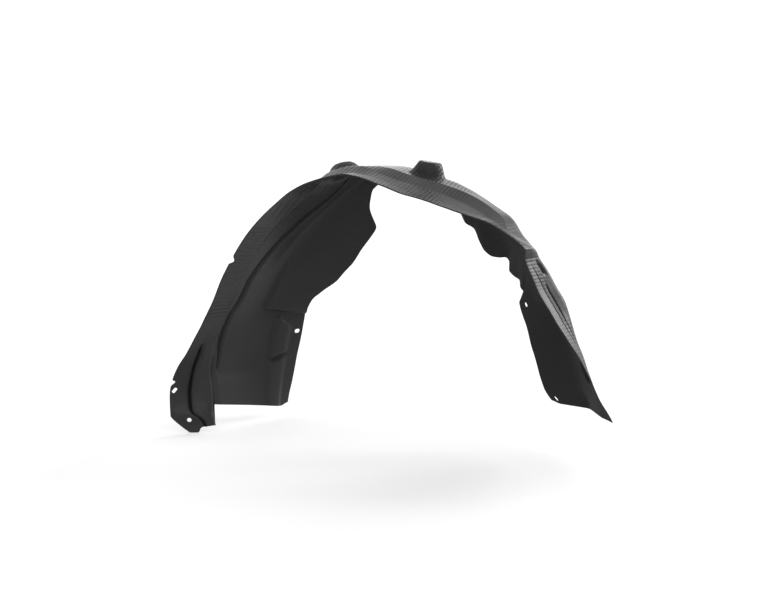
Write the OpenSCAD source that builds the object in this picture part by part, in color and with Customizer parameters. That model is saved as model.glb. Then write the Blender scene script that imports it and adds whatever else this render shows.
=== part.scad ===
// Front wheel arch liner: one moulded plastic shell, for the right side of a car.
// X runs along the car with the front at +X, Y runs inboard from the outboard edge, Z is up.
// The origin is on the wheel axis, in the plane of the outboard edge.
// The shell is a loft. At each angle round the wheel axis its section runs through seven nodes,
// from the outboard edge over the roof to the rim of the inner wall.

/* [Arch] */
// Radius of the outboard edge over the wheel, from the wheel axis
arch_r = 370; // [350:1:390]
// Depth of the liner across the car
depth = 240; // [225:1:255]
// Wall thickness of the moulding
wall = 2; // [1.6:0.1:2.6]
// Width of the outboard lip band
lip_w = 57; // [50:1:62]
// Distance from the outboard edge to the crown line where the roof turns into the inner wall
roof_w = 170; // [160:1:180]

/* [Lower ends] */
// Drop of the rear mounting foot below the wheel axis
foot_drop = 67; // [60:1:72]
// Extra drop of the rounded ear at the bottom of the foot
ear_drop = 10; // [6:0.5:12]
// Drop of the rear panel's bottom edge below the wheel axis, beside the foot
panel_drop = 30.5; // [22:0.5:38]
// Slope of that edge towards the inboard side, in mm per mm
panel_slope = 0.17; // [0.1:0.01:0.24]
// Height of the front tip above the wheel axis
tip_rise = 35.5; // [30:0.5:42]
// Fall of the front bottom edge from the tip to the inner wall
tip_fall = 33; // [25:1:38]

/* [Creases and pads] */
// Depth of the shallow channel between the two long creases of the rear half
channel_h = 3.5; // [2:0.5:4.5]
// Depth of the valley along the second crease of the rear half
valley_h = 5; // [3:0.5:6]
// Depth of the groove along the same crease on the front leg
groove_h = 4; // [2:0.5:5]
// Depth of the fine groove inboard of the front leg's edge
lip_groove_h = 1.5; // [1:0.5:2.5]
// Height of the flat pad on the rear inner wall
pad_h = 5.5; // [3:0.5:7]
// Height of the box pad on the foot
foot_pad_h = 4.5; // [3:0.5:6]
// Depth of the valley between the foot's flange and its box pad
foot_valley_h = 3; // [2:0.5:4]
// Height of the two blocks on the rear inner flange
block_h = 5; // [3:0.5:6]
// Depth of the nicks in the outboard edge, as a share of the flange beside them
nick_h = 0.18; // [0.1:0.01:0.25]
// Cut of the foot's outboard corner, as a share of its flange per degree
corner = 0.11; // [0.08:0.01:0.13]

/* [Bosses] */
// Height of the domed boss behind the crown
dome_h = 15; // [12:0.5:19]
// Radius of the domed boss at its foot
dome_r = 34; // [30:0.5:37]
// Height of the flat boss ahead of the crown
boss_h = 22; // [18:0.5:25]
// Radius of the flat boss at its foot
boss_r = 30; // [26:0.5:32]
// Radius of the flat boss's top
boss_top_r = 16; // [12:0.5:18]

/* [Clip holes] */
// Diameter of the round clip hole in the foot
clip_d = 8; // [6:0.1:9]
// Width of the clip slots
slot_w = 8; // [6:0.1:9]
// Length of the clip slots on the inner walls
slot_l = 11; // [10:0.5:13]
// Width of the narrow slots in the foot and at the front bottom corner
narrow_w = 6; // [5:0.1:7]
// Length of the narrow slots
narrow_l = 11; // [9:0.5:12]

/* [Hidden] */

// Each shape below is a list of [angle, value] from the rear foot (190) over the crown (90) to the tip (3).
// Angles are degrees round the wheel axis from the front. Radii are offsets from arch_r, in mm.

// Node 0, the outboard edge
EDGE_R = [
    [192, 50], [186.6, 46], [181, 44], [178, 39], [174, 27], [170, 11], [165, -2], [160, -11], [152, -17],
    [146, -14], [139, -10], [131, -3], [118, 7], [113, 12], [108, 14], [98, 14], [94, 9], [87, -4],
    [79, -13], [71, -12], [66, -9], [61, -3], [56, 6], [52, 10], [46, 15], [44, 4], [41, -2], [35, -9],
    [29, -7], [23, 0], [19, 7.5], [15, 14.5], [10, 23.5], [3, 44]
];
// Node 1, the middle of the lip band, or the valley behind the foot's flange:
// depth, then radius past the edge's
MID_Y = [
    [192, 36], [189, 34], [187.8, 29], [187, 24], [186, 21], [184, 24], [178, 26], [172, 26], [167, 26],
    [160, 28], [120, 33], [98, 30], [64, 26], [58, 20], [54, 8], [50, 4], [44, 6], [15, 6], [3, 5]
];
MID_R = [
    [192, -53], [189, -48], [187.8, -44], [187, -38], [186, -33], [184, -27], [180, -24], [176, -20],
    [173, -14], [169, -6], [163, 0], [150, 1], [120, 0], [98, 1], [30, 0], [20, -1], [10, -3], [3, -3]
];
// Node 2, the crease at the inboard side of the lip:
// depth as a multiple of lip_w, then radius past the edge's
LIP_Y = [
    [192, 0.92], [189, 0.93], [185, 1], [145, 1], [137, 1.05], [128, 1.16], [118, 1.37], [108, 1.26],
    [98, 1.09], [90, 1.05], [71, 1.05], [64, 0.91], [60, 0.74], [56, 0.49], [53, 0.25], [50, 0.16],
    [44, 0.25], [40, 0.33], [35, 0.4], [25, 0.41], [15, 0.26], [3, 0.18]
];
LIP_R = [
    [192, -60], [190, -57], [186, -53], [181, -51], [175, -32], [168, -10], [162, -2], [155, 2], [147, 1],
    [137, 0], [118, 1], [113, 6], [110, 13], [107.5, 17], [104, 16.6], [98, 12.2], [94, 6], [91, 3.5],
    [87, 3.5], [82, 6.1], [78, 6.6], [71, 4.5], [66, 3], [62, 0.3], [58, -3], [50, 0], [40, 0], [30, -1],
    [20, -3], [10, -7], [3, -8]
];
// Node 3, the second crease, at the top of the riser over the wheel:
// depth past the lip, then radius past the edge's
STEP_Y = [
    [192, 11], [166, 11], [160, 13], [154, 27], [147, 33], [142, 40], [135, 57], [130, 71], [125, 76],
    [120, 79], [113, 83], [108, 66], [104, 52], [99, 38], [94, 30], [86, 28], [71, 28], [66, 28], [62, 27],
    [59, 25], [56, 20], [53, 12], [50, 11], [46, 13], [40, 13], [35, 9], [20, 9.5], [12, 11], [3, 10]
];
STEP_R = [
    [192, -63], [190, -60], [186, -57], [181, -54], [175, -35], [168, -10], [160, 0], [150, 4], [142, 1],
    [130, 1], [120, 1], [113, 6], [104, 13], [99, 12], [96, 11.6], [91, 13], [86, 13.7], [80, 17],
    [76, 16.3], [71, 15.2], [66, 12.3], [62, 8.3], [59, 5.3], [56, 1.8], [50, -2], [40, 1], [30, 0],
    [22, -5], [15, -12], [3, -16]
];
// Node 4, the crown line: depth as a multiple of roof_w, then radius past the edge's
ROOF_Y = [
    [192, 0.82], [170, 0.82], [163, 0.85], [158, 0.9], [152, 0.96], [145, 1], [137, 1.03], [128, 1.07],
    [113, 1.15], [104, 1.15], [92, 1.04], [84, 0.92], [76, 0.87], [70, 0.82], [64, 0.74], [60, 0.66],
    [56, 0.54], [50, 0.42], [44, 0.36], [30, 0.36], [20, 0.32], [3, 0.28]
];
ROOF_R = [
    [192, -68], [190, -65], [186, -62], [181, -60], [176, -46], [170, -28], [164, -14], [158, -2], [150, 4],
    [140, 4], [128, -1], [113, 9], [104, 17], [99, 11.3], [97, 11], [94.5, 12.2], [88, 12.5], [84, 17.5],
    [80, 20.5], [74, 16], [68, 10], [62, 5], [57, 3], [50, -7], [46, -11], [44, -1], [41, 4], [34, 8],
    [29, 0], [23, -12], [17, -19], [10, -29], [3, -39]
];
// Node 5, the fold of the inner wall: depth as a share of the way from the crown line to the rim, then radius
FOLD_Y = [
    [192, 0.48], [163, 0.48], [158, 0.49], [150, 0.55], [140, 0.5], [120, 0.55], [110, 0.64], [96, 0.5],
    [84, 0.57], [74, 0.56], [60, 0.59], [50, 0.65], [40, 0.69], [20, 0.72], [3, 0.73]
];
FOLD_R = [
    [192, -28], [181, -34], [172, -38], [165, -37], [158, -35], [152, -32], [146, -36], [140, -44],
    [134, -46], [124, -41], [117, -31], [115.3, -26], [113.7, -10], [111.3, 0], [109, 9], [106, 13],
    [96, 10], [88, -2], [80, -22], [74, -34], [66, -48], [60, -64], [54, -74], [48, -78], [40, -88],
    [29, -86], [21, -89], [11, -87], [3, -74]
];
// Node 6, the rim of the inner wall: depth as a multiple of depth, then radius
RIM_Y = [
    [192, 1], [115.8, 1], [113.7, 0.93], [111.3, 0.892], [109, 0.867], [104, 0.86], [96, 0.88], [84, 1],
    [0, 1]
];
RIM_R = [
    [192, -28], [188.6, -34], [181, -49.5], [175, -56], [166, -60.5], [160, -58], [156, -54], [152, -57],
    [147, -69], [139, -85], [132, -86], [124, -76], [117, -63], [115.4, -56], [113.7, -27], [111.3, -11],
    [109, 1], [106, 6], [100, 7], [90, -14], [84, -54], [81.4, -72], [78.3, -77], [75, -96], [72, -108],
    [69, -111.5], [66, -108], [63, -101], [61, -105], [59.5, -118], [57, -120], [54.5, -119], [52, -128],
    [49.7, -130], [48.4, -149], [38, -166], [27, -177], [16, -179], [8, -175], [4, -168], [1, -158],
    [0, -148]
];

// Rows of the loft: [from angle, to angle, rows], close together where a feature needs them
ROWS = [
    [181, 179.2, 1], [179.2, 177.4, 3], [177.4, 169.2, 4], [169.2, 168.2, 1], [168.2, 158.4, 4],
    [158.4, 157.2, 1], [157.2, 140.6, 7], [140.6, 140, 1], [140, 137.6, 2], [137.6, 118, 7],
    [118, 115.2, 2], [115.2, 114.4, 1], [114.4, 112, 2], [112, 98, 11], [98, 93, 2], [93, 78, 12],
    [78, 64, 7], [64, 51, 11], [51, 44, 7], [44, 14, 13]
];
// Rows that fan out from the first and the last of these to the cut ends
FAN_REAR = 5;
FAN_FRONT = 4;
// Lines of the loft across the section: [from node, to node, lines]
LINES = [
    [0, 0.85, 2], [0.85, 1, 1], [1, 1.1, 1], [1.1, 1.85, 1], [1.85, 2, 1], [2, 2.1, 1], [2.1, 2.9, 4],
    [2.9, 3, 1], [3, 3.1, 1], [3.1, 4, 5], [4, 5, 4], [5, 5.35, 1], [5.35, 5.6, 1], [5.6, 6, 2]
];
// Rounding at each node, as a share of the stretch on either side
ROUND = [0, 0, 0.12, 0, 0.45, 0.45, 0];
// Below this angle the front leg's wall meets its roof in a crisp fold, which takes this share instead
FOLD_BELOW = 36;
CRISP = 0.08;
// The foot is all that lies outboard of this place in the section
FOOT_END = 2.05;
// Half the width of a pressed valley, in the section's own measure
FLANK = 0.1;
// Where the pressed shapes run round the wheel: [from angle, to angle, angle over which each fades]
CHANNEL = [120, 166, 6];
VALLEY = [112, 172, 5];
GROOVE = [14, 36.5, 1.5];
LIP_GROOVE = [24, 41, 2];
// The short wide groove above the others, with its own place and half width in the section
SHORT_GROOVE = [40.5, 43, 0.8];
SHORT_GROOVE_AT = [3.325, 0.225];
// Angles over which the foot's pad and the wall's pad rise
FOOT_PAD = [166.3, 169.2];
PAD_REAR = [158.4, 157.2];
PAD_FRONT = [135, 150];
// The two blocks: ends of the upper one at place BLOCK_AT and their lean, then the start of the lower one
BLOCK_AT = 5.3;
BLOCK_HIGH = 162;
BLOCK_HIGH_LEAN = 4.5;
BLOCK_LOW = 171.6;
BLOCK_LOW_LEAN = -4;
BLOCK_GAP = 1.6;
BLOCK_EASE = 0.8;
// Height of the lower block, as a share of block_h
LOWER_BLOCK = 0.8;
// The foot's cut corner, and the two nicks: where each begins, is full and ends
CORNER_FROM = 186.6;
LOW_NICK = [177.4, 178, 179.2];
HIGH_NICK = [137.6, 140, 140.6];

// Angles and depths of the two bosses
DOME_AT = [107, 110];
// Radius of the dome's level top, as a share of dome_r
DOME_TOP = 0.38;
BOSS_AT = [85.4, 132];
// Places of the clip holes: [angle, place in the section, turn of the slot]
FOOT_CLIP = [188, 0.54, 0];
FOOT_SLOT = [180.2, 0.23, 40];
REAR_SLOT = [164.3, 5.8, 90];
EAR_SLOT = [44.7, 5.7, 75];
CORNER_SLOT = [3.1, 5.82, 125];

function clamp(x) = min(max(x, 0), 1);
function ease(a, b, t) = let (s = clamp((t - a) / (b - a))) s * s * (3 - 2 * s);
// One between w[0] and w[1], falling to zero over w[2] on either side
function window(w, t) = ease(w[0] - w[2], w[0], t) * (1 - ease(w[1], w[1] + w[2], t));
// Rising to one at w[1] and falling again to zero at w[2]
function nick(w, t) = ease(w[0], w[1], t) * (1 - ease(w[1], w[2], t));

// Slopes for a smooth curve with no overshoot through a list of [angle, value]
function fair(list) = let (
    n = len(list),
    d = [for (i = [0:n - 2]) (list[i + 1][1] - list[i][1]) / (list[i + 1][0] - list[i][0])]
) [for (i = [0:n - 1])
    let (rises = i > 0 && i < n - 1 ? d[i - 1] * d[i] : 0)
    [list[i][0], list[i][1], rises > 0 ? 2 * rises / (d[i - 1] + d[i]) : 0]];
function curve(c, t) = let (
    k = min(max(len([for (p = c) if (p[0] > t) 1]), 1), len(c) - 1),
    a = c[k - 1],
    b = c[k],
    h = b[0] - a[0],
    s = clamp((t - a[0]) / h)
) (1 + 2 * s) * (1 - s) * (1 - s) * a[1] + s * (1 - s) * (1 - s) * h * a[2]
    + s * s * (3 - 2 * s) * b[1] + s * s * (s - 1) * h * b[2];

edge_r = fair(EDGE_R);
mid_y = fair(MID_Y);
mid_r = fair(MID_R);
lip_y = fair(LIP_Y);
lip_r = fair(LIP_R);
step_y = fair(STEP_Y);
step_r = fair(STEP_R);
roof_y = fair(ROOF_Y);
roof_r = fair(ROOF_R);
fold_y = fair(FOLD_Y);
fold_r = fair(FOLD_R);
rim_y = fair(RIM_Y);
rim_r = fair(RIM_R);

// Cut into the outboard edge, as a share of the way from node 0 to node 1: the foot's corner and two nicks
function cut(t) = corner * max(0, t - CORNER_FROM)
    + nick_h * nick(LOW_NICK, t)
    + 2 * nick_h * nick(HIGH_NICK, t);
// The seven nodes of the section at angle t, each as [depth, radius]
function nodes(t) = let (
    r = arch_r + curve(edge_r, t),
    lip = lip_w * curve(lip_y, t),
    roof = roof_w * curve(roof_y, t),
    rim = depth * curve(rim_y, t)
) [
    [0, r] + cut(t) * [curve(mid_y, t), curve(mid_r, t)],
    [curve(mid_y, t), r + curve(mid_r, t)],
    [lip, r + curve(lip_r, t)],
    [lip + curve(step_y, t), r + curve(step_r, t)],
    [roof, r + curve(roof_r, t)],
    [roof + (rim - roof) * curve(fold_y, t), arch_r + curve(fold_r, t)],
    [rim, arch_r + curve(rim_r, t)]
];
// The place u of the section: straight between nodes, with the knees rounded
function section(k, u, t) = let (
    n = min(floor(u + 0.5), 6),
    crisp = n == 5 ? ease(FOLD_BELOW + 6, FOLD_BELOW, t) : 0,
    w = n > 0 && n < 6 ? ROUND[n] + (CRISP - ROUND[n]) * crisp : 0,
    q = w > 0 ? (u - n + w) / (2 * w) : -1,
    i = min(floor(u), 5)
) q > 0 && q < 1
    ? let (a = k[n] + (k[n - 1] - k[n]) * w, b = k[n] + (k[n + 1] - k[n]) * w)
        (1 - q) * (1 - q) * a + 2 * q * (1 - q) * k[n] + q * q * b
    : k[i] + (k[i + 1] - k[i]) * (u - i);

// Height of the cut ends, below the wheel axis at the rear and above it at the front
function rear_end(u, y) = u < FOOT_END
    ? -foot_drop - ear_drop * (1 - ease(0.42, 0.85, u))
    : -panel_drop - panel_slope * (y - lip_w) + 7 * ease(5.6, 6, u);
function front_end(u, y) = tip_rise - tip_fall * pow(y / depth, 1.2) + 4 * ease(5.8, 6, u);
// Angle at which line u reaches its cut end, found in a few steps
function rear_angle(u, t = 185, steps = 8) = steps == 0 ? t
    : let (p = section(nodes(t), u, t)) rear_angle(u, 180 - asin(rear_end(u, p[0]) / p[1]), steps - 1);
function front_angle(u, t = 5, steps = 8) = steps == 0 ? t
    : let (p = section(nodes(t), u, t)) front_angle(u, asin(front_end(u, p[0]) / p[1]), steps - 1);

function base(t, u) = let (p = section(nodes(t), u, t)) [p[1] * cos(t), p[0], p[1] * sin(t)];

// Height of a round boss at p, with its middle at angle and depth at
function boss(p, t, at, h, top, foot) = let (
    r = norm([p[0], p[2]]),
    far = norm([r * (t - at[0]) * PI / 180, p[1] - at[1]])
) h * (1 - ease(top, foot, far));

// Two blocks in line along the wall, the upper with slanted ends
function blocks(t, u) = let (
    high = BLOCK_HIGH + BLOCK_HIGH_LEAN * (u - BLOCK_AT),
    low = BLOCK_LOW + BLOCK_LOW_LEAN * (u - BLOCK_AT),
    next = low + BLOCK_GAP
) window([high, low, BLOCK_EASE], t) + LOWER_BLOCK * ease(next, next + BLOCK_EASE, t);

// Pressed shapes: movement of the skin away from the wheel at angle t and place u
function relief(t, u, p) =
    channel_h * window(CHANNEL, t) * ease(2, 2 + FLANK, u) * (1 - ease(3 - FLANK, 3, u))
    + valley_h * window(VALLEY, t) * max(0, 1 - abs(u - 3) / FLANK)
    - groove_h * window(GROOVE, t) * max(0, 1 - abs(u - 3) / FLANK)
    - groove_h * window(SHORT_GROOVE, t) * max(0, 1 - abs(u - SHORT_GROOVE_AT[0]) / SHORT_GROOVE_AT[1])
    - lip_groove_h * window(LIP_GROOVE, t) * max(0, 1 - abs(u - 2) / FLANK)
    - foot_pad_h * ease(FOOT_PAD[0], FOOT_PAD[1], t) * ease(1, 1.1, u) * (1 - ease(1.85, 2, u))
    + foot_valley_h * ease(FOOT_PAD[0], FOOT_PAD[1], t) * ease(0.85, 1, u) * (1 - ease(1, 1.1, u))
    - pad_h * ease(PAD_FRONT[0], PAD_FRONT[1], t) * (1 - ease(PAD_REAR[1], PAD_REAR[0], t)) * ease(4, 4.25, u)
    - block_h * blocks(t, u) * ease(4.75, 5, u) * (1 - ease(5.35, 5.6, u))
    + boss(p, t, DOME_AT, dome_h, DOME_TOP * dome_r, dome_r)
    + boss(p, t, BOSS_AT, boss_h, boss_top_r, boss_r);
us = [0, for (l = LINES) for (i = [1:l[2]]) l[0] + (l[1] - l[0]) * i / l[2]];
ts = [ROWS[0][0], for (r = ROWS) for (i = [1:r[2]]) r[0] + (r[1] - r[0]) * i / r[2]];
rear_ts = [for (u = us) rear_angle(u)];
front_ts = [for (u = us) front_angle(u)];
nv = len(us);
grid_t = [
    for (i = [0:FAN_REAR - 1]) [for (j = [0:nv - 1]) rear_ts[j] + (ts[0] - rear_ts[j]) * i / FAN_REAR],
    for (t = ts) [for (j = [0:nv - 1]) t],
    for (i = [1:FAN_FRONT]) [for (j = [0:nv - 1])
        ts[len(ts) - 1] + (front_ts[j] - ts[len(ts) - 1]) * i / FAN_FRONT]
];
nu = len(grid_t);

// Directions away from the wheel, square to the skin, at each point of a grid
function unit(v) = v / norm(v);
function normals(g) = [for (i = [0:nu - 1]) [for (j = [0:nv - 1])
    let (round_way = g[min(i + 1, nu - 1)][j] - g[max(i - 1, 0)][j])
    let (across = g[i][min(j + 1, nv - 1)] - g[i][max(j - 1, 0)])
    unit(cross(round_way, across))]];
plain = [for (i = [0:nu - 1]) [for (j = [0:nv - 1]) base(grid_t[i][j], us[j])]];
plain_n = normals(plain);
skin = [for (i = [0:nu - 1]) [for (j = [0:nv - 1]) let (t = grid_t[i][j])
    plain[i][j] + relief(t, us[j], plain[i][j]) * plain_n[i][j]]];
skin_n = normals(skin);

// A closed shell of the wall thickness, half on either side of the skin
module moulding() {
    m = nu * nv;
    points = [
        for (side = [-1, 1]) for (i = [0:nu - 1]) for (j = [0:nv - 1])
            skin[i][j] + side * wall / 2 * skin_n[i][j]
    ];
    function two(a, b, c, d) = [[a, b, c], [a, c, d]];
    faces = [
        for (i = [0:nu - 2]) for (j = [0:nv - 2]) let (k = i * nv + j)
            each two(k, k + nv, k + nv + 1, k + 1),
        for (i = [0:nu - 2]) for (j = [0:nv - 2]) let (k = m + i * nv + j)
            each two(k, k + 1, k + nv + 1, k + nv),
        for (i = [0:nu - 2]) let (k = i * nv) each two(k, k + m, k + m + nv, k + nv),
        for (i = [0:nu - 2]) let (k = i * nv + nv - 1) each two(k, k + nv, k + m + nv, k + m),
        for (j = [0:nv - 2]) let (k = j) each two(k, k + 1, k + m + 1, k + m),
        for (j = [0:nv - 2]) let (k = (nu - 1) * nv + j) each two(k, k + m, k + m + 1, k + 1)
    ];
    polyhedron(points, faces);
}

// Point and square direction of the skin at a hole
function hole_frame(at) = let (
    t = at[0],
    u = at[1],
    d = unit(cross(base(t, u + 0.05) - base(t, u - 0.05), base(t + 0.5, u) - base(t - 0.5, u)))
) [base(t, u) + relief(t, u, base(t, u)) * d, d];

module at_skin(at) {
    f = hole_frame(at);
    translate(f[0])
        rotate([0, acos(f[1][2]), atan2(f[1][1], f[1][0])])
            rotate([0, 0, at[2]])
                children();
}
module round_hole(d) {
    cylinder(h = 10 * wall, d = d, center = true, $fn = 64);
}
module slot_hole(w, l) {
    for (s = [-1, 1]) translate([s * (l - w) / 2, 0, 0]) round_hole(w);
    cube([l - w, w, 10 * wall], center = true);
}

module liner() {
    color("#2b2b2e")
    difference() {
        moulding();
        at_skin(FOOT_CLIP) round_hole(clip_d);
        at_skin(FOOT_SLOT) slot_hole(narrow_w, narrow_l);
        at_skin(REAR_SLOT) slot_hole(slot_w, slot_l);
        at_skin(EAR_SLOT) slot_hole(slot_w, slot_l);
        at_skin(CORNER_SLOT) slot_hole(narrow_w, narrow_l);
    }
}

liner();
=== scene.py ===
"""Looks of the front wheel arch liner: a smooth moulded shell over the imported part, in black grained plastic.

The shell is the loft of the part, on a finer grid, with rounded rims. Its lists and sizes are in millimetres,
in the frame of the part: X forward, Y inboard from the outboard edge, Z up, origin on the wheel axis.
"""

import math

import bpy
import numpy as np
from mathutils import Matrix, Vector

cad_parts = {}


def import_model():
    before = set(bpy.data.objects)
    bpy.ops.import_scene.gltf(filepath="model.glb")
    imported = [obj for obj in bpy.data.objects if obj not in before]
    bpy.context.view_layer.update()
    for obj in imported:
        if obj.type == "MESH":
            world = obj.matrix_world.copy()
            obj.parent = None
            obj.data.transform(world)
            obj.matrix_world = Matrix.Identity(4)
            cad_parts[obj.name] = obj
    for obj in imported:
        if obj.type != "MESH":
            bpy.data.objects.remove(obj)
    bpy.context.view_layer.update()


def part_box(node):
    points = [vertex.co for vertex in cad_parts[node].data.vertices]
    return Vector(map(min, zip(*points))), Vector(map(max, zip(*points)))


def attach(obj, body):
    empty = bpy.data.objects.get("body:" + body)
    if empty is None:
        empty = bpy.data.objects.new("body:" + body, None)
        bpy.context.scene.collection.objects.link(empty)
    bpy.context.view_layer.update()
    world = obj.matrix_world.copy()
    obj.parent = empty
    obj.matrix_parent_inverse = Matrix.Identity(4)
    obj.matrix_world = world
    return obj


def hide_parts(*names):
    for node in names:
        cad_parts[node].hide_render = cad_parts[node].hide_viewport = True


MM = 0.001

# Photograph: its width in pixels, and its view, as an azimuth from the outboard side and an elevation
PHOTO_W = 757
VIEW_AZIMUTH = 32.0
VIEW_ELEVATION = 7.0
# Distance of the camera and the point that it looks at, both in metres, and the scale of the picture there
VIEW_DISTANCE = 2.0
VIEW_TARGET = (0.019, 0.0, 0.179)
PIXELS_PER_MM = 0.64

# Arch
# Radius of the outboard edge over the wheel, from the wheel axis
ARCH_R = 370
# Depth of the liner across the car
DEPTH = 240
# Wall thickness of the moulding
WALL = 2
# Width of the outboard lip band
LIP_W = 57
# Distance from the outboard edge to the crown line where the roof turns into the inner wall
ROOF_W = 170

# Lower ends
# Drop of the rear mounting foot below the wheel axis
FOOT_DROP = 67
# Extra drop of the rounded ear at the bottom of the foot
EAR_DROP = 10
# Drop of the rear panel's bottom edge below the wheel axis, beside the foot
PANEL_DROP = 30.5
# Slope of that edge towards the inboard side, in mm per mm
PANEL_SLOPE = 0.17
# Height of the front tip above the wheel axis
TIP_RISE = 35.5
# Fall of the front bottom edge from the tip to the inner wall
TIP_FALL = 33

# Creases and pads
# Depth of the shallow channel between the two long creases of the rear half
CHANNEL_H = 3.5
# Depth of the valley along the second crease of the rear half
VALLEY_H = 5
# Depth of the groove along the same crease on the front leg
GROOVE_H = 4
# Depth of the fine groove inboard of the front leg's edge
LIP_GROOVE_H = 1.5
# Height of the flat pad on the rear inner wall
PAD_H = 5.5
# Height of the box pad on the foot
FOOT_PAD_H = 4.5
# Depth of the valley between the foot's flange and its box pad
FOOT_VALLEY_H = 3
# Height of the two blocks on the rear inner flange
BLOCK_H = 5
# Depth of the nicks in the outboard edge, as a share of the flange beside them
NICK_H = 0.18
# Cut of the foot's outboard corner, as a share of its flange per degree
CORNER = 0.11

# Bosses
# Height of the domed boss behind the crown
DOME_H = 15
# Radius of the domed boss at its foot
DOME_R = 34
# Height of the flat boss ahead of the crown
BOSS_H = 22
# Radius of the flat boss at its foot
BOSS_R = 30
# Radius of the flat boss's top
BOSS_TOP_R = 16

# Clip holes
# Diameter of the round clip hole in the foot
CLIP_D = 8
# Width of the clip slots
SLOT_W = 8
# Length of the clip slots on the inner walls
SLOT_L = 11
# Width of the narrow slots in the foot and at the front bottom corner
NARROW_W = 6
# Length of the narrow slots
NARROW_L = 11

# Each shape below is a list of [angle, value] from the rear foot (near 190) over the crown (90) to the front
# tip (near 3). Angles are degrees round the wheel axis from the front. Radii are offsets from ARCH_R, in mm.

# Node 0, the outboard edge
EDGE_R = [
    [192, 50], [186.6, 46], [181, 44], [178, 39], [174, 27], [170, 11], [165, -2], [160, -11], [152, -17],
    [146, -14], [139, -10], [131, -3], [118, 7], [113, 12], [108, 14], [98, 14], [94, 9], [87, -4],
    [79, -13], [71, -12], [66, -9], [61, -3], [56, 6], [52, 10], [46, 15], [44, 4], [41, -2], [35, -9],
    [29, -7], [23, 0], [19, 7.5], [15, 14.5], [10, 23.5], [3, 44]
]
# Node 1, the middle of the lip band, or the valley behind the foot's flange:
# depth, then radius past the edge's
MID_Y = [
    [192, 36], [189, 34], [187.8, 29], [187, 24], [186, 21], [184, 24], [178, 26], [172, 26], [167, 26],
    [160, 28], [120, 33], [98, 30], [64, 26], [58, 20], [54, 8], [50, 4], [44, 6], [15, 6], [3, 5]
]
MID_R = [
    [192, -53], [189, -48], [187.8, -44], [187, -38], [186, -33], [184, -27], [180, -24], [176, -20],
    [173, -14], [169, -6], [163, 0], [150, 1], [120, 0], [98, 1], [30, 0], [20, -1], [10, -3], [3, -3]
]
# Node 2, the crease at the inboard side of the lip:
# depth as a multiple of LIP_W, then radius past the edge's
LIP_Y = [
    [192, 0.92], [189, 0.93], [185, 1], [145, 1], [137, 1.05], [128, 1.16], [118, 1.37], [108, 1.26],
    [98, 1.09], [90, 1.05], [71, 1.05], [64, 0.91], [60, 0.74], [56, 0.49], [53, 0.25], [50, 0.16],
    [44, 0.25], [40, 0.33], [35, 0.4], [25, 0.41], [15, 0.26], [3, 0.18]
]
LIP_R = [
    [192, -60], [190, -57], [186, -53], [181, -51], [175, -32], [168, -10], [162, -2], [155, 2], [147, 1],
    [137, 0], [118, 1], [113, 6], [110, 13], [107.5, 17], [104, 16.6], [98, 12.2], [94, 6], [91, 3.5],
    [87, 3.5], [82, 6.1], [78, 6.6], [71, 4.5], [66, 3], [62, 0.3], [58, -3], [50, 0], [40, 0], [30, -1],
    [20, -3], [10, -7], [3, -8]
]
# Node 3, the second crease, at the top of the riser over the wheel:
# depth past the lip, then radius past the edge's
STEP_Y = [
    [192, 11], [166, 11], [160, 13], [154, 27], [147, 33], [142, 40], [135, 57], [130, 71], [125, 76],
    [120, 79], [113, 83], [108, 66], [104, 52], [99, 38], [94, 30], [86, 28], [71, 28], [66, 28], [62, 27],
    [59, 25], [56, 20], [53, 12], [50, 11], [46, 13], [40, 13], [35, 9], [20, 9.5], [12, 11], [3, 10]
]
STEP_R = [
    [192, -63], [190, -60], [186, -57], [181, -54], [175, -35], [168, -10], [160, 0], [150, 4], [142, 1],
    [130, 1], [120, 1], [113, 6], [104, 13], [99, 12], [96, 11.6], [91, 13], [86, 13.7], [80, 17],
    [76, 16.3], [71, 15.2], [66, 12.3], [62, 8.3], [59, 5.3], [56, 1.8], [50, -2], [40, 1], [30, 0],
    [22, -5], [15, -12], [3, -16]
]
# Node 4, the crown line: depth as a multiple of ROOF_W, then radius past the edge's
ROOF_Y = [
    [192, 0.82], [170, 0.82], [163, 0.85], [158, 0.9], [152, 0.96], [145, 1], [137, 1.03], [128, 1.07],
    [113, 1.15], [104, 1.15], [92, 1.04], [84, 0.92], [76, 0.87], [70, 0.82], [64, 0.74], [60, 0.66],
    [56, 0.54], [50, 0.42], [44, 0.36], [30, 0.36], [20, 0.32], [3, 0.28]
]
ROOF_R = [
    [192, -68], [190, -65], [186, -62], [181, -60], [176, -46], [170, -28], [164, -14], [158, -2], [150, 4],
    [140, 4], [128, -1], [113, 9], [104, 17], [99, 11.3], [97, 11], [94.5, 12.2], [88, 12.5], [84, 17.5],
    [80, 20.5], [74, 16], [68, 10], [62, 5], [57, 3], [50, -7], [46, -11], [44, -1], [41, 4], [34, 8],
    [29, 0], [23, -12], [17, -19], [10, -29], [3, -39]
]
# Node 5, the fold of the inner wall: depth as a share of the way from the crown line to the rim, then radius
FOLD_Y = [
    [192, 0.48], [163, 0.48], [158, 0.49], [150, 0.55], [140, 0.5], [120, 0.55], [110, 0.64], [96, 0.5],
    [84, 0.57], [74, 0.56], [60, 0.59], [50, 0.65], [40, 0.69], [20, 0.72], [3, 0.73]
]
FOLD_R = [
    [192, -28], [181, -34], [172, -38], [165, -37], [158, -35], [152, -32], [146, -36], [140, -44],
    [134, -46], [124, -41], [117, -31], [115.3, -26], [113.7, -10], [111.3, 0], [109, 9], [106, 13],
    [96, 10], [88, -2], [80, -22], [74, -34], [66, -48], [60, -64], [54, -74], [48, -78], [40, -88],
    [29, -86], [21, -89], [11, -87], [3, -74]
]
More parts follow.
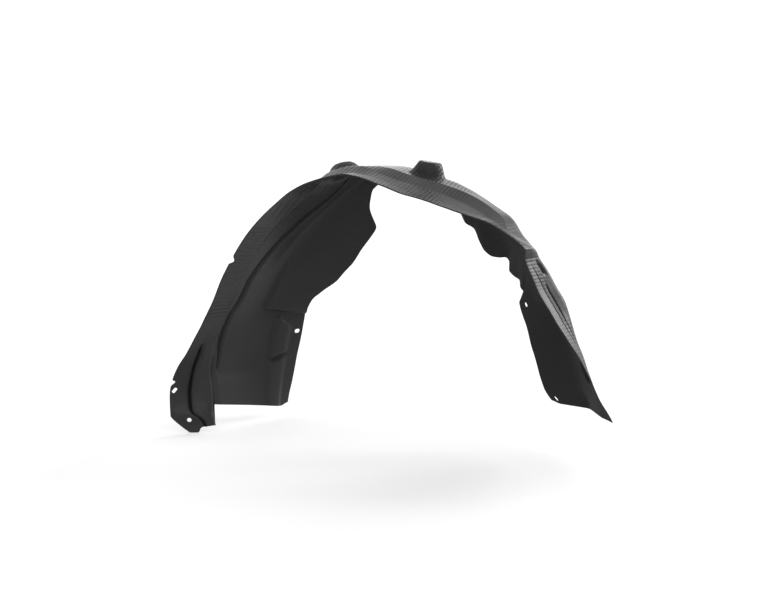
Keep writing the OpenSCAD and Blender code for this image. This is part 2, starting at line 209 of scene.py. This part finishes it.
# Node 6, the rim of the inner wall: depth as a multiple of DEPTH, then radius
RIM_Y = [
    [192, 1], [115.8, 1], [113.7, 0.93], [111.3, 0.892], [109, 0.867], [104, 0.86], [96, 0.88], [84, 1],
    [0, 1]
]
RIM_R = [
    [192, -28], [188.6, -34], [181, -49.5], [175, -56], [166, -60.5], [160, -58], [156, -54], [152, -57],
    [147, -69], [139, -85], [132, -86], [124, -76], [117, -63], [115.4, -56], [113.7, -27], [111.3, -11],
    [109, 1], [106, 6], [100, 7], [90, -14], [84, -54], [81.4, -72], [78.3, -77], [75, -96], [72, -108],
    [69, -111.5], [66, -108], [63, -101], [61, -105], [59.5, -118], [57, -120], [54.5, -119], [52, -128],
    [49.7, -130], [48.4, -149], [38, -166], [27, -177], [16, -179], [8, -175], [4, -168], [1, -158],
    [0, -148]
]

# Rows of the loft: [from angle, to angle, rows], close together where a feature needs them
ROWS = [
    [181, 179.2, 1], [179.2, 177.4, 3], [177.4, 169.2, 4], [169.2, 168.2, 1], [168.2, 158.4, 4],
    [158.4, 157.2, 1], [157.2, 140.6, 7], [140.6, 140, 1], [140, 137.6, 2], [137.6, 118, 7],
    [118, 115.2, 2], [115.2, 114.4, 1], [114.4, 112, 2], [112, 98, 11], [98, 93, 2], [93, 78, 12],
    [78, 64, 7], [64, 51, 11], [51, 44, 7], [44, 14, 13]
]
# Rows that fan out from the first and the last of these to the cut ends
FAN_REAR = 5
FAN_FRONT = 4
# Lines of the loft across the section: [from node, to node, lines]
LINES = [
    [0, 0.85, 2], [0.85, 1, 1], [1, 1.1, 1], [1.1, 1.85, 1], [1.85, 2, 1], [2, 2.1, 1], [2.1, 2.9, 4],
    [2.9, 3, 1], [3, 3.1, 1], [3.1, 4, 5], [4, 5, 4], [5, 5.35, 1], [5.35, 5.6, 1], [5.6, 6, 2]
]
# Rounding at each node, as a share of the stretch on either side
ROUND = [0, 0, 0.12, 0, 0.45, 0.45, 0]
# Below this angle the front leg's wall meets its roof in a crisp fold, which takes this share instead
FOLD_BELOW = 36
CRISP = 0.08
# Angles above that one over which the crisp fold turns into the round one
FOLD_FADE = 6
# The foot is all that lies outboard of this place in the section
FOOT_END = 2.05
# Places in the section between which the foot's ear runs out
EAR_FADE = [0.42, 0.85]
# Lift of the rear panel's bottom edge beside the rim, and where it rises
PANEL_LIFT = 7
PANEL_LIFT_AT = [5.6, 6]
# Bend of the front bottom edge, as a power, then its lift beside the rim and where it rises
FRONT_BEND = 1.2
FRONT_LIFT = 4
FRONT_LIFT_AT = [5.8, 6]
# Angles where the search for the two cut ends begins, and its steps
REAR_GUESS = 185
FRONT_GUESS = 5
END_STEPS = 8
# Half the width of a pressed valley, in the section's own measure
FLANK = 0.1
# Where the pressed shapes run round the wheel: [from angle, to angle, angle over which each fades]
CHANNEL = [120, 166, 6]
VALLEY = [112, 172, 5]
GROOVE = [14, 36.5, 1.5]
LIP_GROOVE = [24, 41, 2]
# The short wide groove above the others, with its own place and half width in the section
SHORT_GROOVE = [40.5, 43, 0.8]
SHORT_GROOVE_AT = [3.325, 0.225]
# Angles over which the foot's pad and the wall's pad rise
FOOT_PAD = [166.3, 169.2]
PAD_REAR = [158.4, 157.2]
PAD_FRONT = [135, 150]
# Places in the section between which the pads, the foot's valley and the blocks rise and fall
FOOT_VALLEY_RISE = [0.85, 1]
FOOT_PAD_RISE = [1, 1.1]
FOOT_PAD_FALL = [1.85, 2]
PAD_RISE = [4, 4.25]
BLOCK_RISE = [4.75, 5]
BLOCK_FALL = [5.35, 5.6]
# The two blocks: ends of the upper one at place BLOCK_AT and their lean, then the start of the lower one
BLOCK_AT = 5.3
BLOCK_HIGH = 162
BLOCK_HIGH_LEAN = 4.5
BLOCK_LOW = 171.6
BLOCK_LOW_LEAN = -4
BLOCK_GAP = 1.6
BLOCK_EASE = 0.8
# Height of the lower block, as a share of BLOCK_H
LOWER_BLOCK = 0.8
# The foot's cut corner, and the two nicks: where each begins, is full and ends
CORNER_FROM = 186.6
LOW_NICK = [177.4, 178, 179.2]
HIGH_NICK = [137.6, 140, 140.6]

# Angles and depths of the two bosses
DOME_AT = [107, 110]
# Radius of the dome's level top, as a share of DOME_R
DOME_TOP = 0.38
BOSS_AT = [85.4, 132]
# Places of the clip holes: [angle, place in the section, turn of the slot]
FOOT_CLIP = [188, 0.54, 0]
FOOT_SLOT = [180.2, 0.23, 40]
REAR_SLOT = [164.3, 5.8, 90]
EAR_SLOT = [44.7, 5.7, 75]
CORNER_SLOT = [3.1, 5.82, 125]

# Mesh of the shell: how much finer its grid is than the part's own, and the steps round a rim and a hole
FINER_ROWS = 4
FINER_LINES = 3
RIM_STEPS = 6
HOLE_STEPS = 44
# Reach of a hole's cutter on either side of the skin
CUTTER_REACH = 5 * WALL
# Small steps in place and in angle that give the direction of the skin at a hole
NEAR_PLACE = 0.05
NEAR_ANGLE = 0.5
# Edges that turn by more degrees than this are shaded sharp
SHARP_ANGLE = 60

# Fine tool lines that the mould leaves on the skin: their spacing, how far they wander, and the directions
# across them
TOOL_LINE_GAP = 5.5
WANDER = 8.0
ACROSS_SLANTED = (-0.646, -0.302, 0.702)
ACROSS_LEVEL = (-0.212, 0.009, 0.978)
# Where they show: angles as for the pressed shapes, the depths from none to full, and their height.
# The slanted ones are on the crown and the rear wall
SLANTED_LINES = [([74, 122, 8], [190, 150], 2.0), ([140, 168, 6], [120, 190], 0.6)]
# The level ones are on the rear band, the crown's inner wall and, in two stretches, the front strip
LEVEL_LINES = [
    ([130, 157, 5], [75, 45], 2.0), ([66, 140, 8], [170, 215], 0.8),
    ([40, 74, 6], [60, 30], 0.8), ([14, 26, 4], [60, 30], 0.8)
]
# Share of the slanted lines' height that is lost on the wheel's side
WHEEL_SIDE_LOSS = 0.75
# A point inside the wheel, which tells the wheel's side of the skin from the other
WHEEL_MIDDLE = (0, 120, 0)
# Angles over which the grain turns from the front leg's to the rear leg's, over the crown, and back, below
# the wheel, where there is no skin
GRAIN_TURNS = [75, 115]
GRAIN_TURNS_BACK = [270, 280]

# Plastic: colour, index of refraction, and roughness from the lowest to the highest points of the grain
BLACK = (0.034, 0.034, 0.035)
REFRACTION = 1.17
SATIN = (0.25, 0.33)
# What a coarse grain adds to the roughness and takes from the shine
COARSE_ROUGHER = 0.35
COARSE_DULLER = 0.35
# Bump of the tool lines and of the grain, as strength and distance
LINE_BUMP = (0.35, 0.6)
GRAIN_BUMP = (0.12, 0.3)
# Fineness of the grain and of the broad patches in it, in repeats to the metre
GRAIN_SCALE = 900.0
PATCH_SCALE = 7.0
# Spread of the plastic's tone from patch to patch
TONE = (0.9, 1.1)
# Tool lines are full where the patches pass the second value, and this share of it below the first
LINE_PATCHES = (0.36, 0.56)
LINE_LEAST = 0.5
# Painted shade in creases: the reach of the darkening, the openness from the tightest to the plain skin, and
# the share of the colour that the tightest keeps
PAINTED_SHADE_REACH = 18
PAINTED_SHADE_OPENNESS = (0.75, 0.99)
PAINTED_CREASE_SHADE = 0.38

# Lamps: azimuth and elevation as the view's, strength, and spread in degrees
LAMPS = {
    "overhead": (180.0, 65.0, 0.3, 60.0),
    "rear": (163.0, 24.0, 1.15, 28.0),
    "low_rear": (208.0, 6.0, 0.2, 24.0),
    "front": (40.0, 30.0, 0.9, 70.0),
    "inboard": (130.0, 26.0, 0.9, 22.0),
}
# Light of the white surroundings on the part, as a share of their own brightness
SKY_SHARE = 0.5
# Floor: its gap below the part, half its side in metres, its grey and the glow that it has for the camera
FLOOR_GAP = 2
FLOOR_HALF = 40.0
FLOOR_GREY = 0.8
FLOOR_GLOW = 0.35


def ease(a, b, t):
    s = np.clip((t - a) / (b - a), 0, 1)
    return s * s * (3 - 2 * s)


def window(w, t):
    """One between w[0] and w[1], falling to zero over w[2] on either side."""
    return ease(w[0] - w[2], w[0], t) * (1 - ease(w[1], w[1] + w[2], t))


def nick(w, t):
    """Rising to one at w[1] and falling again to zero at w[2]."""
    return ease(w[0], w[1], t) * (1 - ease(w[1], w[2], t))


def fair_curve(pairs):
    """A smooth curve with no overshoot through a list of [angle, value], as a function of the angle."""
    x, v = np.array(sorted(pairs), float).T
    d = np.diff(v) / np.diff(x)
    slope = np.zeros(len(x))
    rises = d[:-1] * d[1:] > 0
    slope[1:-1][rises] = (2 * d[:-1] * d[1:])[rises] / (d[:-1] + d[1:])[rises]

    def value(t):
        k = np.clip(np.searchsorted(x, t, side="right") - 1, 0, len(x) - 2)
        h = x[k + 1] - x[k]
        s = np.clip((t - x[k]) / h, 0, 1)
        start = (1 + 2 * s) * (1 - s) ** 2 * v[k] + s * (1 - s) ** 2 * h * slope[k]
        return start + s * s * (3 - 2 * s) * v[k + 1] + s * s * (s - 1) * h * slope[k + 1]

    return value


edge_r = fair_curve(EDGE_R)
mid_y = fair_curve(MID_Y)
mid_r = fair_curve(MID_R)
lip_y = fair_curve(LIP_Y)
lip_r = fair_curve(LIP_R)
step_y = fair_curve(STEP_Y)
step_r = fair_curve(STEP_R)
roof_y = fair_curve(ROOF_Y)
roof_r = fair_curve(ROOF_R)
fold_y = fair_curve(FOLD_Y)
fold_r = fair_curve(FOLD_R)
rim_y = fair_curve(RIM_Y)
rim_r = fair_curve(RIM_R)


def cut(t):
    """Cut into the outboard edge, as a share of the way to node 1: the foot's corner and two nicks."""
    foot = CORNER * np.maximum(0, t - CORNER_FROM)
    return foot + NICK_H * nick(LOW_NICK, t) + 2 * NICK_H * nick(HIGH_NICK, t)


def nodes(t):
    """The seven nodes of the section at each angle t, as [depth, radius]."""
    r = ARCH_R + edge_r(t)
    lip = LIP_W * lip_y(t)
    roof = ROOF_W * roof_y(t)
    rim = DEPTH * rim_y(t)
    depths = [
        cut(t) * mid_y(t),
        mid_y(t),
        lip,
        lip + step_y(t),
        roof,
        roof + (rim - roof) * fold_y(t),
        rim,
    ]
    radii = [
        r + cut(t) * mid_r(t),
        r + mid_r(t),
        r + lip_r(t),
        r + step_r(t),
        r + roof_r(t),
        ARCH_R + fold_r(t),
        ARCH_R + rim_r(t),
    ]
    return np.stack([np.stack(depths, -1), np.stack(radii, -1)], -1)


def section(t, u):
    """The place u of the section at angle t: straight between nodes, with the knees rounded."""
    t, u = np.broadcast_arrays(np.asarray(t, float), np.asarray(u, float))
    k = nodes(t)

    def node(n):
        return np.take_along_axis(k, np.broadcast_to(n[..., None, None], n.shape + (1, 2)), -2)[..., 0, :]

    low = np.clip(np.floor(u).astype(int), 0, 5)
    share = (u - low)[..., None]
    straight = node(low) * (1 - share) + node(low + 1) * share
    n = np.clip(np.floor(u + 0.5).astype(int), 1, 5)
    w = np.array(ROUND, float)[n]
    w += np.where(n == 5, (CRISP - w) * (1 - ease(FOLD_BELOW, FOLD_BELOW + FOLD_FADE, t)), 0)
    q = np.where(w > 0, (u - n + w) / np.where(w > 0, 2 * w, 1), -1)[..., None]
    a = node(n) + (node(n - 1) - node(n)) * w[..., None]
    b = node(n) + (node(n + 1) - node(n)) * w[..., None]
    knee = (1 - q) ** 2 * a + 2 * q * (1 - q) * node(n) + q * q * b
    return np.where((q > 0) & (q < 1), knee, straight)


def rear_end(u, y):
    """Height of the rear cut end: the foot, then the panel."""
    foot = -FOOT_DROP - EAR_DROP * (1 - ease(*EAR_FADE, u))
    panel = -PANEL_DROP - PANEL_SLOPE * (y - LIP_W) + PANEL_LIFT * ease(*PANEL_LIFT_AT, u)
    return np.where(u < FOOT_END, foot, panel)


def front_end(u, y):
    """Height of the front cut end."""
    fall = TIP_FALL * np.maximum(y / DEPTH, 0) ** FRONT_BEND
    return TIP_RISE - fall + FRONT_LIFT * ease(*FRONT_LIFT_AT, u)


def end_angles(u, start, height, turned):
    """Angle at which each line u reaches its cut end, found in a few steps."""
    t = np.full(len(u), float(start))
    for _ in range(END_STEPS):
        y, r = section(t, u).T
        t = np.degrees(np.arcsin(height(u, y) / r))
        if turned:
            t = 180 - t
    return t


def base(t, u):
    """Points of the skin before the pressed shapes."""
    y, r = np.moveaxis(section(t, u), -1, 0)
    a = np.radians(t)
    return np.stack([r * np.cos(a), y, r * np.sin(a)], -1)


def boss(p, t, at, height, top, foot):
    """Height of a round boss at p, with its middle at angle and depth at."""
    r = np.hypot(p[..., 0], p[..., 2])
    far = np.hypot(r * np.radians(t - at[0]), p[..., 1] - at[1])
    return height * (1 - ease(top, foot, far))


def valley(u, middle, half):
    """One at the middle, falling straight to zero at half the width on either side."""
    return np.maximum(0, 1 - abs(u - middle) / half)


def blocks(t, u):
    """Two blocks in line along the wall, the upper with slanted ends."""
    high = BLOCK_HIGH + BLOCK_HIGH_LEAN * (u - BLOCK_AT)
    low = BLOCK_LOW + BLOCK_LOW_LEAN * (u - BLOCK_AT)
    after = low + BLOCK_GAP
    return window([high, low, BLOCK_EASE], t) + LOWER_BLOCK * ease(after, after + BLOCK_EASE, t)


def relief(t, u, p):
    """Pressed shapes: movement of the skin away from the wheel."""
    channel = CHANNEL_H * window(CHANNEL, t) * ease(2, 2 + FLANK, u) * (1 - ease(3 - FLANK, 3, u))
    crease = (VALLEY_H * window(VALLEY, t) - GROOVE_H * window(GROOVE, t)) * valley(u, 3, FLANK)
    short_groove = -GROOVE_H * window(SHORT_GROOVE, t) * valley(u, *SHORT_GROOVE_AT)
    lip_groove = -LIP_GROOVE_H * window(LIP_GROOVE, t) * valley(u, 2, FLANK)
    on_foot = ease(*FOOT_PAD, t)
    foot_pad = -FOOT_PAD_H * on_foot * ease(*FOOT_PAD_RISE, u) * (1 - ease(*FOOT_PAD_FALL, u))
    foot_valley = FOOT_VALLEY_H * on_foot * ease(*FOOT_VALLEY_RISE, u) * (1 - ease(*FOOT_PAD_RISE, u))
    on_wall = ease(*PAD_FRONT, t) * (1 - ease(PAD_REAR[1], PAD_REAR[0], t))
    wall_pad = -PAD_H * on_wall * ease(*PAD_RISE, u)
    two_blocks = -BLOCK_H * blocks(t, u) * ease(*BLOCK_RISE, u) * (1 - ease(*BLOCK_FALL, u))
    dome = boss(p, t, DOME_AT, DOME_H, DOME_TOP * DOME_R, DOME_R)
    flat = boss(p, t, BOSS_AT, BOSS_H, BOSS_TOP_R, BOSS_R)
    pressed = channel + crease + short_groove + lip_groove + foot_pad + foot_valley
    return pressed + wall_pad + two_blocks + dome + flat


def unit(v):
    return v / np.maximum(np.linalg.norm(v, axis=-1, keepdims=True), 1e-9)


def normals(p):
    """Directions away from the wheel, square to the skin, at each point of a grid."""
    rows = np.concatenate([p[1:2] - p[:1], p[2:] - p[:-2], p[-1:] - p[-2:-1]])
    lines = np.concatenate([p[:, 1:2] - p[:, :1], p[:, 2:] - p[:, :-2], p[:, -1:] - p[:, -2:-1]], 1)
    return unit(np.cross(rows, lines))


def stretches(spans, finer):
    """All places named by a list of [from, to, steps], each step split by finer."""
    places = [float(spans[0][0])]
    for a, b, steps in spans:
        n = steps * finer
        places += [a + (b - a) * i / n for i in range(1, n + 1)]
    return np.array(places)


def skin_grid():
    """Points of the skin's middle surface, as one grid of rows and lines."""
    lines = stretches(LINES, FINER_LINES)
    rows = stretches(ROWS, FINER_ROWS)
    rear = end_angles(lines, REAR_GUESS, rear_end, True)
    front = end_angles(lines, FRONT_GUESS, front_end, False)
    n_rear = FAN_REAR * FINER_ROWS
    n_front = FAN_FRONT * FINER_ROWS
    fan_rear = [rear + (rows[0] - rear) * i / n_rear for i in range(n_rear)]
    fan_front = [rows[-1] + (front - rows[-1]) * i / n_front for i in range(1, n_front + 1)]
    t = np.concatenate([fan_rear, np.repeat(rows[:, None], len(lines), 1), fan_front])
    u = np.repeat(lines[None], len(t), 0)
    plain = base(t, u)
    return plain + relief(t, u, plain)[..., None] * normals(plain)


def border(nu, nv):
    """Grid places round the rim of the sheet, in order."""
    low = [(0, j) for j in range(nv)]
    right = [(i, nv - 1) for i in range(1, nu)]
    high = [(nu - 1, j) for j in range(nv - 2, -1, -1)]
    left = [(i, 0) for i in range(nu - 2, 0, -1)]
    return low + right + high + left


def shell(p):
    """Points and faces of the sheet p as a closed shell with a half-round rim."""
    nu, nv = p.shape[:2]
    n = normals(p)
    half = WALL / 2
    inward = np.zeros_like(p)
    inward[0] += unit(p[1] - p[0])
    inward[-1] += unit(p[-2] - p[-1])
    inward[:, 0] += unit(p[:, 1] - p[:, 0])
    inward[:, -1] += unit(p[:, -2] - p[:, -1])
    inner = p + half * (inward - n)
    outer = p + half * (inward + n)
    index = np.arange(nu * nv).reshape(nu, nv)
    a, b, c, d = index[:-1, :-1], index[1:, :-1], index[1:, 1:], index[:-1, 1:]
    outside = np.stack([a, b, c, d], -1).reshape(-1, 4) + nu * nv
    inside = np.stack([a, d, c, b], -1).reshape(-1, 4)
    loop = border(nu, nv)
    i, j = np.array(loop).T
    rings = [index[i, j]]
    points = [inner.reshape(-1, 3), outer.reshape(-1, 3)]
    for step in range(1, RIM_STEPS):
        turn = math.pi * (step / RIM_STEPS - 0.5)
        rings.append(2 * nu * nv + (step - 1) * len(loop) + np.arange(len(loop)))
        points.append(p[i, j] + half * (inward[i, j] * (1 - math.cos(turn)) + n[i, j] * math.sin(turn)))
    rings.append(index[i, j] + nu * nv)
    rim = [
        np.stack([r, s, np.roll(s, -1), np.roll(r, -1)], -1) for r, s in zip(rings[:-1], rings[1:])
    ]
    return np.concatenate(points), np.concatenate([outside, inside] + rim)


def hole_frame(at):
    """Point and square direction of the skin at a hole."""
    t, u = float(at[0]), float(at[1])
    along = base(t, u + NEAR_PLACE) - base(t, u - NEAR_PLACE)
    across = base(t + NEAR_ANGLE, u) - base(t - NEAR_ANGLE, u)
    d = unit(np.cross(along, across))
    p = base(t, u)
    return p + relief(t, u, p) * d, d


def hole_cutter(at, width, length):
    """Points and faces of an upright prism with round ends, set square to the skin."""
    centre, d = hole_frame(at)
    turns = (np.arange(HOLE_STEPS) + 0.5) * 2 * np.pi / HOLE_STEPS
    x = width / 2 * np.cos(turns) + np.sign(np.cos(turns)) * (length - width) / 2
    y = width / 2 * np.sin(turns)
    ring = [np.stack([x, y, np.full(HOLE_STEPS, z)], -1) for z in (-CUTTER_REACH, CUTTER_REACH)]
    tilt = Matrix.Rotation(math.atan2(d[1], d[0]), 3, "Z") @ Matrix.Rotation(math.acos(d[2]), 3, "Y")
    turned = np.array(tilt @ Matrix.Rotation(math.radians(at[2]), 3, "Z"))
    points = np.concatenate(ring) @ turned.T + centre
    n = HOLE_STEPS
    sides = [(k, (k + 1) % n, n + (k + 1) % n, n + k) for k in range(n)]
    return points, [tuple(range(n - 1, -1, -1)), tuple(range(n, 2 * n))] + sides


def mesh_object(name, points, faces):
    """A new object in the scene, from points in millimetres."""
    mesh = bpy.data.meshes.new(name)
    mesh.from_pydata((np.asarray(points) * MM).tolist(), [], [tuple(f) for f in faces])
    mesh.update()
    piece = bpy.data.objects.new(name, mesh)
    bpy.context.scene.collection.objects.link(piece)
    return piece


def hole_cutters():
    """One object that cuts all five holes."""
    holes = [
        hole_cutter(FOOT_CLIP, CLIP_D, CLIP_D),
        hole_cutter(FOOT_SLOT, NARROW_W, NARROW_L),
        hole_cutter(REAR_SLOT, SLOT_W, SLOT_L),
        hole_cutter(EAR_SLOT, SLOT_W, SLOT_L),
        hole_cutter(CORNER_SLOT, NARROW_W, NARROW_L),
    ]
    points = np.concatenate([p for p, _ in holes])
    faces = [tuple(v + i * 2 * HOLE_STEPS for v in f) for i, (_, fs) in enumerate(holes) for f in fs]
    return mesh_object("hole_cutters", points, faces)


def cut_holes(piece, cutters):
    """Cut the holes into the mesh of the piece for good, and take the cutters away."""
    modifier = piece.modifiers.new("holes", "BOOLEAN")
    modifier.operation = "DIFFERENCE"
    modifier.solver = "MANIFOLD"
    modifier.object = cutters
    graph = bpy.context.evaluated_depsgraph_get()
    cut_mesh = bpy.data.meshes.new_from_object(piece.evaluated_get(graph))
    piece.modifiers.clear()
    cut_mesh.materials.clear()
    piece.data = cut_mesh
    bpy.data.objects.remove(cutters)


def angles_round_wheel(points):
    return np.degrees(np.arctan2(points[:, 2], points[:, 0])) % 360


def tool_marks(points, where):
    """Height of one set of tool lines at each point of the skin."""
    t = angles_round_wheel(points)
    y = points[:, 1]
    return sum(height * window(angles, t) * ease(*depths, y) for angles, depths, height in where)


def wheel_side(points, directions):
    """One where the skin faces the wheel, zero where it faces away."""
    return (np.sum((points - WHEEL_MIDDLE) * directions, -1) < 0).astype(float)


def coarseness(points, side):
    """Grain of the wheel's side of the skin: coarse (1) on the front leg, fine (-1) on the rear leg."""
    t = angles_round_wheel(points)
    return side * (1 - 2 * ease(*GRAIN_TURNS, t) + 2 * ease(*GRAIN_TURNS_BACK, t))


def read_vectors(items, name):
    """A vector of each item, such as a vertex's place, as an array."""
    flat = np.zeros(len(items) * 3)
    items.foreach_get(name, flat)
    return flat.reshape(-1, 3)


def mark_skin(mesh):
    """Keep on each vertex what the plastic needs to know of its place."""
    places = read_vectors(mesh.vertices, "co") / MM
    side = wheel_side(places, read_vectors(mesh.vertex_normals, "vector"))
    values = {
        "slanted_lines": tool_marks(places, SLANTED_LINES) * (1 - WHEEL_SIDE_LOSS * side),
        "level_lines": tool_marks(places, LEVEL_LINES),
        "coarseness": coarseness(places, side),
    }
    for name, value in values.items():
        mesh.attributes.new(name, "FLOAT", "POINT").data.foreach_set("value", value)


def liner():
    """The whole moulding, with its holes cut and its skin marked."""
    points, faces = shell(skin_grid())
    piece = mesh_object("liner_moulding", points, faces)
    cut_holes(piece, hole_cutters())
    mark_skin(piece.data)
    piece.data.shade_smooth()
    piece.data.set_sharp_from_angle(angle=math.radians(SHARP_ANGLE))
    return piece


class Nodes:
    """Short calls for building a material's node tree."""

    def __init__(self, tree):
        self.tree = tree
        tree.nodes.clear()

    def add(self, kind, **inputs):
        node = self.tree.nodes.new(kind)
        for name, value in inputs.items():
            self.put(node, name.replace("_", " "), value)
        return node

    def put(self, node, socket, value):
        if isinstance(value, bpy.types.NodeSocket):
            self.tree.links.new(value, node.inputs[socket])
        else:
            node.inputs[socket].default_value = value

    def attribute(self, name):
        node = self.tree.nodes.new("ShaderNodeAttribute")
        node.attribute_name = name
        return node.outputs["Fac"]

    def math(self, operation, a, b=0.0, c=0.0):
        node = self.tree.nodes.new("ShaderNodeMath")
        node.operation = operation
        for k, value in enumerate((a, b, c)):
            self.put(node, k, value)
        return node.outputs[0]


def tool_lines(n, place, patches, across, strength_name):
    """Height of one set of tool lines, which wander a little with the patches."""
    along = n.tree.nodes.new("ShaderNodeVectorMath")
    along.operation = "DOT_PRODUCT"
    n.put(along, 0, place)
    n.put(along, 1, across)
    wander = n.math("MULTIPLY_ADD", patches, WANDER * MM, along.outputs["Value"])
    line = n.math("SINE", n.math("MULTIPLY", wander, 2 * math.pi / (TOOL_LINE_GAP * MM)))
    return n.math("MULTIPLY", line, n.attribute(strength_name))


def map_range(n, value, old, new):
    """The value moved from one pair of ends to another, and held between them."""
    ends = {"From_Min": old[0], "From_Max": old[1], "To_Min": new[0], "To_Max": new[1]}
    return n.add("ShaderNodeMapRange", Value=value, **ends).outputs["Result"]


def painted_crease_shade(n):
    """Painted shade: the share of the colour that shows, one on plain skin and less in tight creases."""
    crease = n.tree.nodes.new("ShaderNodeAmbientOcclusion")
    crease.samples = 16
    crease.only_local = True
    crease.inputs["Distance"].default_value = PAINTED_SHADE_REACH * MM
    return map_range(n, crease.outputs["AO"], PAINTED_SHADE_OPENNESS, (PAINTED_CREASE_SHADE, 1.0))


def bump(n, size, height):
    """A bump from a height, with its strength and distance as its size."""
    return n.add("ShaderNodeBump", Strength=size[0], Distance=size[1] * MM, Height=height)


def plastic():
    """Black polypropylene with a fine matt grain, faint tool lines, a sheen at low angles and painted shade in
    its creases.
    """
    material = bpy.data.materials.new("black_plastic")
    material.use_nodes = True
    n = Nodes(material.node_tree)
    place = n.add("ShaderNodeTexCoord").outputs["Object"]
    grain = n.add("ShaderNodeTexNoise", Vector=place, Scale=GRAIN_SCALE, Detail=3.0).outputs["Fac"]
    patches = n.add("ShaderNodeTexNoise", Vector=place, Scale=PATCH_SCALE, Detail=2.0).outputs["Fac"]
    slanted = tool_lines(n, place, patches, ACROSS_SLANTED, "slanted_lines")
    level = tool_lines(n, place, patches, ACROSS_LEVEL, "level_lines")
    mask = map_range(n, patches, LINE_PATCHES, (LINE_LEAST, 1.0))
    lines = n.math("MULTIPLY", n.math("ADD", slanted, level), mask)
    lined = bump(n, LINE_BUMP, lines)
    grained = bump(n, GRAIN_BUMP, grain)
    n.put(grained, "Normal", lined.outputs["Normal"])
    tone = map_range(n, patches, (0.0, 1.0), TONE)
    colour = n.tree.nodes.new("ShaderNodeVectorMath")
    colour.operation = "SCALE"
    n.put(colour, 0, BLACK)
    # Painted shade: the colour is darkened in tight creases, found by ambient occlusion.
    n.put(colour, "Scale", n.math("MULTIPLY", tone, painted_crease_shade(n)))
    satin = map_range(n, grain, (0.0, 1.0), SATIN)
    coarse = n.attribute("coarseness")
    matt = map_range(n, coarse, (0.0, 1.0), (0.0, COARSE_ROUGHER))
    shader = n.add(
        "ShaderNodeBsdfPrincipled",
        Base_Color=colour.outputs["Vector"],
        Roughness=n.math("ADD", matt, satin),
        Specular_IOR_Level=n.math("MULTIPLY_ADD", coarse, -COARSE_DULLER, 0.5),
        Normal=grained.outputs["Normal"],
        IOR=REFRACTION,
    )
    n.add("ShaderNodeOutputMaterial", Surface=shader.outputs["BSDF"])
    return material


def seen_directly(n):
    """One on rays from the camera and on mirrored or refracted ones."""
    path = n.add("ShaderNodeLightPath")
    glossy = n.math("MAXIMUM", path.outputs["Is Camera Ray"], path.outputs["Is Glossy Ray"])
    return n.math("MAXIMUM", glossy, path.outputs["Is Transmission Ray"])


def floor(height):
    """A wide pale floor that takes the shadow and looks as white as the background."""
    corners = [(x * FLOOR_HALF, y * FLOOR_HALF, height) for x, y in ((-1, -1), (1, -1), (1, 1), (-1, 1))]
    piece = mesh_object("floor", np.array(corners) / MM, [(0, 1, 2, 3)])
    material = bpy.data.materials.new("pale_floor")
    material.use_nodes = True
    n = Nodes(material.node_tree)
    diffuse = n.add("ShaderNodeBsdfDiffuse", Color=(FLOOR_GREY, FLOOR_GREY, FLOOR_GREY, 1))
    path = n.add("ShaderNodeLightPath")
    glow = n.add("ShaderNodeEmission", Strength=n.math("MULTIPLY", path.outputs["Is Camera Ray"], FLOOR_GLOW))
    both = n.tree.nodes.new("ShaderNodeAddShader")
    n.put(both, 0, diffuse.outputs[0])
    n.put(both, 1, glow.outputs[0])
    n.add("ShaderNodeOutputMaterial", Surface=both.outputs[0])
    piece.data.materials.append(material)


def world():
    """White surroundings, which light the part at a share of what they show."""
    scene_world = bpy.data.worlds.new("studio")
    bpy.context.scene.world = scene_world
    scene_world.use_nodes = True
    n = Nodes(scene_world.node_tree)
    strength = n.math("MULTIPLY_ADD", seen_directly(n), 1 - SKY_SHARE, SKY_SHARE)
    sky = n.add("ShaderNodeBackground", Color=(1, 1, 1, 1), Strength=strength)
    n.add("ShaderNodeOutputWorld", Surface=sky.outputs[0])


def lamp(name, azimuth, elevation, strength, spread):
    """A far soft lamp, at an azimuth and elevation given as the view's are."""
    light = bpy.data.lights.new(name, "SUN")
    light.energy = strength
    light.angle = math.radians(spread)
    lamp_object = bpy.data.objects.new(name, light)
    lamp_object.rotation_euler = direction(azimuth, elevation).to_track_quat("Z", "Y").to_euler()
    bpy.context.scene.collection.objects.link(lamp_object)


def direction(azimuth, elevation):
    """From the object towards an azimuth on the outboard side and an elevation, in degrees."""
    a, e = math.radians(azimuth), math.radians(elevation)
    return Vector((math.sin(a) * math.cos(e), -math.cos(a) * math.cos(e), math.sin(e)))


def camera():
    """The camera at the photograph's own view."""
    back = direction(VIEW_AZIMUTH, VIEW_ELEVATION)
    data = bpy.data.cameras.new("camera")
    data.sensor_fit = "HORIZONTAL"
    data.sensor_width = 36.0
    data.lens = data.sensor_width * PIXELS_PER_MM / MM * VIEW_DISTANCE / PHOTO_W
    view = bpy.data.objects.new("camera", data)
    view.location = Vector(VIEW_TARGET) + VIEW_DISTANCE * back
    view.rotation_euler = back.to_track_quat("Z", "Y").to_euler()
    bpy.context.scene.collection.objects.link(view)
    bpy.context.scene.camera = view


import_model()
camera()
moulding = liner()
moulding.data.materials.append(plastic())
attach(moulding, "root")
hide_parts("liner")
low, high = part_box("liner")
floor(low.z - FLOOR_GAP * MM)
world()
for lamp_name, lamp_place in LAMPS.items():
    lamp(lamp_name, *lamp_place)
bpy.context.scene.view_settings.view_transform = "Standard"
